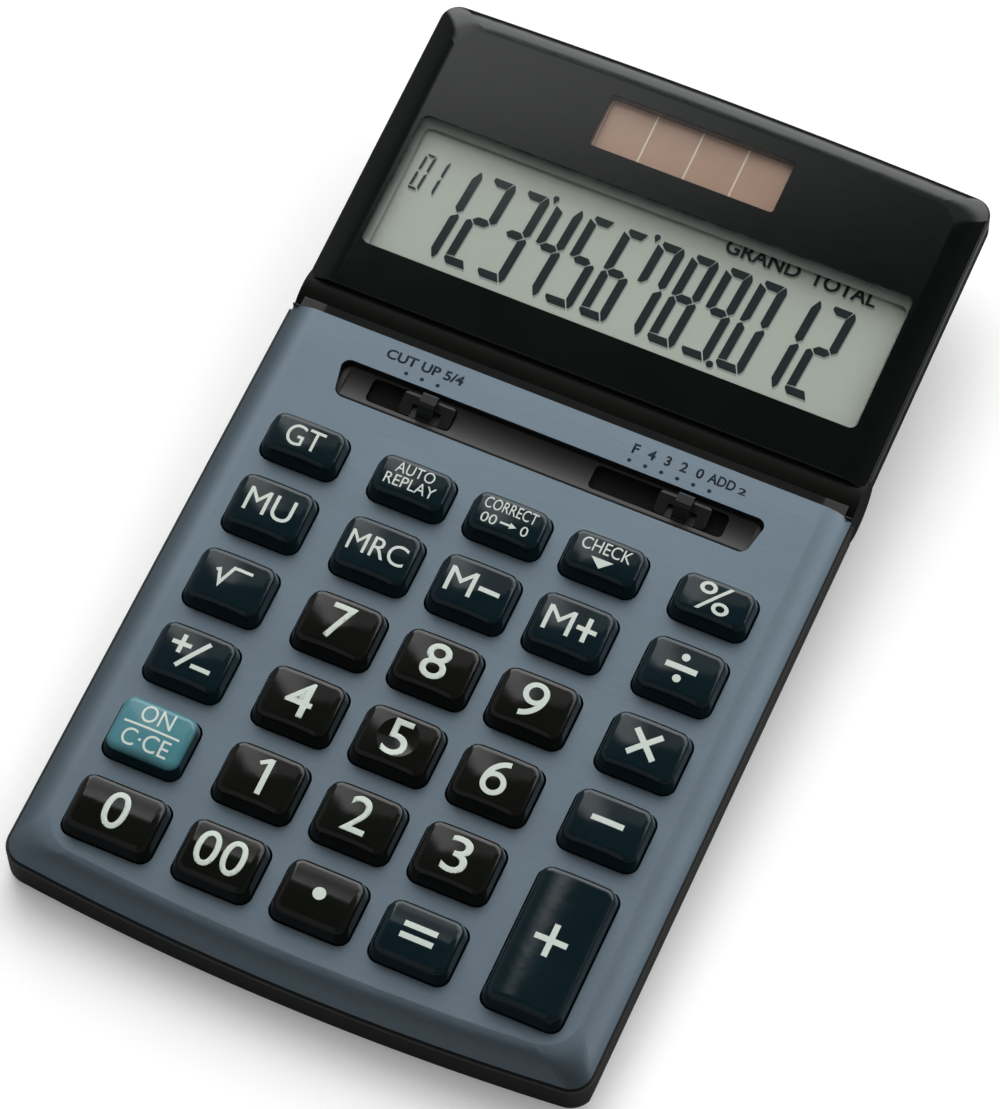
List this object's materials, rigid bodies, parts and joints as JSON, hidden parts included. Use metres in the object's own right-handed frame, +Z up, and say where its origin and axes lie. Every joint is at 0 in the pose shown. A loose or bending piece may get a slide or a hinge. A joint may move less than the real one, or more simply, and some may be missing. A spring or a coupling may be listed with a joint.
{
  "type": "electronic calculator",
  "caption": "Desktop calculator: sloping brushed-metal keyboard with sprung glossy keys and two slide switches, and a hinged tilting display with solar panel.",
  "frame": {"origin": "on the desk plane, under the middle of the whole object's width and length", "axes": "+X to the user's right, +Y away from the user towards the display, +Z up"},
  "size_m": [0.1072, 0.1851, 0.0274],
  "materials": {
    "fascia_aluminium": "brushed along the long sides, blue-grey anodised",
    "case_black": "satin black",
    "display_black": "gloss black",
    "digit_key": "gloss black",
    "function_key": "gloss dark blue",
    "clear_key": "gloss teal blue",
    "silicone": "translucent grey silicone",
    "board_green": "solder resist",
    "chip_resin": "black resin",
    "component_metal": "satin",
    "cell_steel": "bright",
    "contact_metal": "sprung sheet",
    "screw_steel": "black-zinc pan heads",
    "pin_steel": "ground",
    "foot_rubber": "matt",
    "ribbon_film": "flexible film",
    "lens_clear": "clear acrylic",
    "lcd_glass": "grey-green liquid crystal panel",
    "zebra_rubber": "layered conductive rubber",
    "solar_pane": "tinted acrylic",
    "solar_brown": "amorphous silicon on glass",
    "switch_black": "satin black"
  },
  "bodies": {
    "case": {"bottom_case": "case_black", "top_case": "case_black", "fascia_plate": "fascia_aluminium", "rubber_keypad": "silicone", "main_board": "board_green", "main_chip": "chip_resin", "board_components": "component_metal", "button_cell": "cell_steel", "battery_contact_positive": "contact_metal", "battery_contact_negative": "contact_metal", "battery_cover": "case_black", "battery_cover_screw": "screw_steel", "case_screws": "screw_steel", "board_screws": "screw_steel", "rubber_feet": "foot_rubber", "hinge_pins": "pin_steel", "hinge_washers": "pin_steel", "display_ribbon": "ribbon_film"},
    "display": {"display_back": "display_black", "display_bezel": "display_black", "lcd_lens": "lens_clear", "lcd_panel": "lcd_glass", "lcd_connector": "zebra_rubber", "display_board": "board_green", "solar_window": "solar_pane", "solar_cell": "solar_brown", "display_screws": "screw_steel"},
    "rounding_switch": {"rounding_switch_knob": "switch_black", "rounding_switch_contact": "contact_metal"},
    "decimal_switch": {"decimal_switch_knob": "switch_black", "decimal_switch_contact": "contact_metal"},
    "key_grand_total": {"key_grand_total": "function_key"},
    "key_memory_markup": {"key_memory_markup": "function_key"},
    "key_square_root": {"key_square_root": "function_key"},
    "key_sign_change": {"key_sign_change": "function_key"},
    "key_on_clear": {"key_on_clear": "clear_key"},
    "key_zero": {"key_zero": "digit_key"},
    "key_auto_replay": {"key_auto_replay": "function_key"},
    "key_memory_recall": {"key_memory_recall": "function_key"},
    "key_seven": {"key_seven": "digit_key"},
    "key_four": {"key_four": "digit_key"},
    "key_one": {"key_one": "digit_key"},
    "key_double_zero": {"key_double_zero": "digit_key"},
    "key_correct": {"key_correct": "function_key"},
    "key_memory_minus": {"key_memory_minus": "function_key"},
    "key_eight": {"key_eight": "digit_key"},
    "key_five": {"key_five": "digit_key"},
    "key_two": {"key_two": "digit_key"},
    "key_decimal_point": {"key_decimal_point": "digit_key"},
    "key_check": {"key_check": "function_key"},
    "key_memory_plus": {"key_memory_plus": "function_key"},
    "key_nine": {"key_nine": "digit_key"},
    "key_six": {"key_six": "digit_key"},
    "key_three": {"key_three": "digit_key"},
    "key_equals": {"key_equals": "function_key"},
    "key_percent": {"key_percent": "function_key"},
    "key_divide": {"key_divide": "function_key"},
    "key_multiply": {"key_multiply": "function_key"},
    "key_minus": {"key_minus": "function_key"},
    "key_plus": {"key_plus": "function_key"}
  },
  "joints": [
    {"name": "display_tilt", "type": "hinge", "parent": "case", "child": "display", "pos_m": [0, 0.02981, 0.01313], "axis": [1, 0, 0], "range_deg": [-3.5, 35], "deforming": ["display_ribbon"]},
    {"name": "decimal_switch_slide", "type": "slide", "parent": "case", "child": "decimal_switch", "axis": [1, 0, 0], "range_m": [-0.012, 0.003]},
    {"name": "rounding_switch_slide", "type": "slide", "parent": "case", "child": "rounding_switch", "axis": [1, 0, 0], "range_m": [-0.006, 0]},
    {"name": "key_grand_total_press", "type": "slide", "parent": "case", "child": "key_grand_total", "axis": [0, 0.0698, -0.9976], "range_m": [0, 0.0012], "stiffness_N_per_m": 350, "springref_m": -0.0004, "deforming": ["rubber_keypad"]},
    {"name": "key_memory_markup_press", "type": "slide", "parent": "case", "child": "key_memory_markup", "axis": [0, 0.0698, -0.9976], "range_m": [0, 0.0012], "stiffness_N_per_m": 350, "springref_m": -0.0004},
    {"name": "key_square_root_press", "type": "slide", "parent": "case", "child": "key_square_root", "axis": [0, 0.0698, -0.9976], "range_m": [0, 0.0012], "stiffness_N_per_m": 350, "springref_m": -0.0004},
    {"name": "key_sign_change_press", "type": "slide", "parent": "case", "child": "key_sign_change", "axis": [0, 0.0698, -0.9976], "range_m": [0, 0.0012], "stiffness_N_per_m": 350, "springref_m": -0.0004},
    {"name": "key_on_clear_press", "type": "slide", "parent": "case", "child": "key_on_clear", "axis": [0, 0.0698, -0.9976], "range_m": [0, 0.0012], "stiffness_N_per_m": 350, "springref_m": -0.0004},
    {"name": "key_zero_press", "type": "slide", "parent": "case", "child": "key_zero", "axis": [0, 0.0698, -0.9976], "range_m": [0, 0.0012], "stiffness_N_per_m": 350, "springref_m": -0.0004},
    {"name": "key_auto_replay_press", "type": "slide", "parent": "case", "child": "key_auto_replay", "axis": [0, 0.0698, -0.9976], "range_m": [0, 0.0012], "stiffness_N_per_m": 350, "springref_m": -0.0004},
    {"name": "key_memory_recall_press", "type": "slide", "parent": "case", "child": "key_memory_recall", "axis": [0, 0.0698, -0.9976], "range_m": [0, 0.0012], "stiffness_N_per_m": 350, "springref_m": -0.0004},
    {"name": "key_seven_press", "type": "slide", "parent": "case", "child": "key_seven", "axis": [0, 0.0698, -0.9976], "range_m": [0, 0.0012], "stiffness_N_per_m": 350, "springref_m": -0.0004},
    {"name": "key_four_press", "type": "slide", "parent": "case", "child": "key_four", "axis": [0, 0.0698, -0.9976], "range_m": [0, 0.0012], "stiffness_N_per_m": 350, "springref_m": -0.0004},
    {"name": "key_one_press", "type": "slide", "parent": "case", "child": "key_one", "axis": [0, 0.0698, -0.9976], "range_m": [0, 0.0012], "stiffness_N_per_m": 350, "springref_m": -0.0004},
    {"name": "key_double_zero_press", "type": "slide", "parent": "case", "child": "key_double_zero", "axis": [0, 0.0698, -0.9976], "range_m": [0, 0.0012], "stiffness_N_per_m": 350, "springref_m": -0.0004},
    {"name": "key_correct_press", "type": "slide", "parent": "case", "child": "key_correct", "axis": [0, 0.0698, -0.9976], "range_m": [0, 0.0012], "stiffness_N_per_m": 350, "springref_m": -0.0004},
    {"name": "key_memory_minus_press", "type": "slide", "parent": "case", "child": "key_memory_minus", "axis": [0, 0.0698, -0.9976], "range_m": [0, 0.0012], "stiffness_N_per_m": 350, "springref_m": -0.0004},
    {"name": "key_eight_press", "type": "slide", "parent": "case", "child": "key_eight", "axis": [0, 0.0698, -0.9976], "range_m": [0, 0.0012], "stiffness_N_per_m": 350, "springref_m": -0.0004},
    {"name": "key_five_press", "type": "slide", "parent": "case", "child": "key_five", "axis": [0, 0.0698, -0.9976], "range_m": [0, 0.0012], "stiffness_N_per_m": 350, "springref_m": -0.0004},
    {"name": "key_two_press", "type": "slide", "parent": "case", "child": "key_two", "axis": [0, 0.0698, -0.9976], "range_m": [0, 0.0012], "stiffness_N_per_m": 350, "springref_m": -0.0004},
    {"name": "key_decimal_point_press", "type": "slide", "parent": "case", "child": "key_decimal_point", "axis": [0, 0.0698, -0.9976], "range_m": [0, 0.0012], "stiffness_N_per_m": 350, "springref_m": -0.0004},
    {"name": "key_check_press", "type": "slide", "parent": "case", "child": "key_check", "axis": [0, 0.0698, -0.9976], "range_m": [0, 0.0012], "stiffness_N_per_m": 350, "springref_m": -0.0004},
    {"name": "key_memory_plus_press", "type": "slide", "parent": "case", "child": "key_memory_plus", "axis": [0, 0.0698, -0.9976], "range_m": [0, 0.0012], "stiffness_N_per_m": 350, "springref_m": -0.0004},
    {"name": "key_nine_press", "type": "slide", "parent": "case", "child": "key_nine", "axis": [0, 0.0698, -0.9976], "range_m": [0, 0.0012], "stiffness_N_per_m": 350, "springref_m": -0.0004},
    {"name": "key_six_press", "type": "slide", "parent": "case", "child": "key_six", "axis": [0, 0.0698, -0.9976], "range_m": [0, 0.0012], "stiffness_N_per_m": 350, "springref_m": -0.0004},
    {"name": "key_three_press", "type": "slide", "parent": "case", "child": "key_three", "axis": [0, 0.0698, -0.9976], "range_m": [0, 0.0012], "stiffness_N_per_m": 350, "springref_m": -0.0004},
    {"name": "key_equals_press", "type": "slide", "parent": "case", "child": "key_equals", "axis": [0, 0.0698, -0.9976], "range_m": [0, 0.0012], "stiffness_N_per_m": 350, "springref_m": -0.0004},
    {"name": "key_percent_press", "type": "slide", "parent": "case", "child": "key_percent", "axis": [0, 0.0698, -0.9976], "range_m": [0, 0.0012], "stiffness_N_per_m": 350, "springref_m": -0.0004},
    {"name": "key_divide_press", "type": "slide", "parent": "case", "child": "key_divide", "axis": [0, 0.0698, -0.9976], "range_m": [0, 0.0012], "stiffness_N_per_m": 350, "springref_m": -0.0004},
    {"name": "key_multiply_press", "type": "slide", "parent": "case", "child": "key_multiply", "axis": [0, 0.0698, -0.9976], "range_m": [0, 0.0012], "stiffness_N_per_m": 350, "springref_m": -0.0004},
    {"name": "key_minus_press", "type": "slide", "parent": "case", "child": "key_minus", "axis": [0, 0.0698, -0.9976], "range_m": [0, 0.0012], "stiffness_N_per_m": 350, "springref_m": -0.0004},
    {"name": "key_plus_press", "type": "slide", "parent": "case", "child": "key_plus", "axis": [0, 0.0698, -0.9976], "range_m": [0, 0.0012], "stiffness_N_per_m": 350, "springref_m": -0.0004}
  ]
}
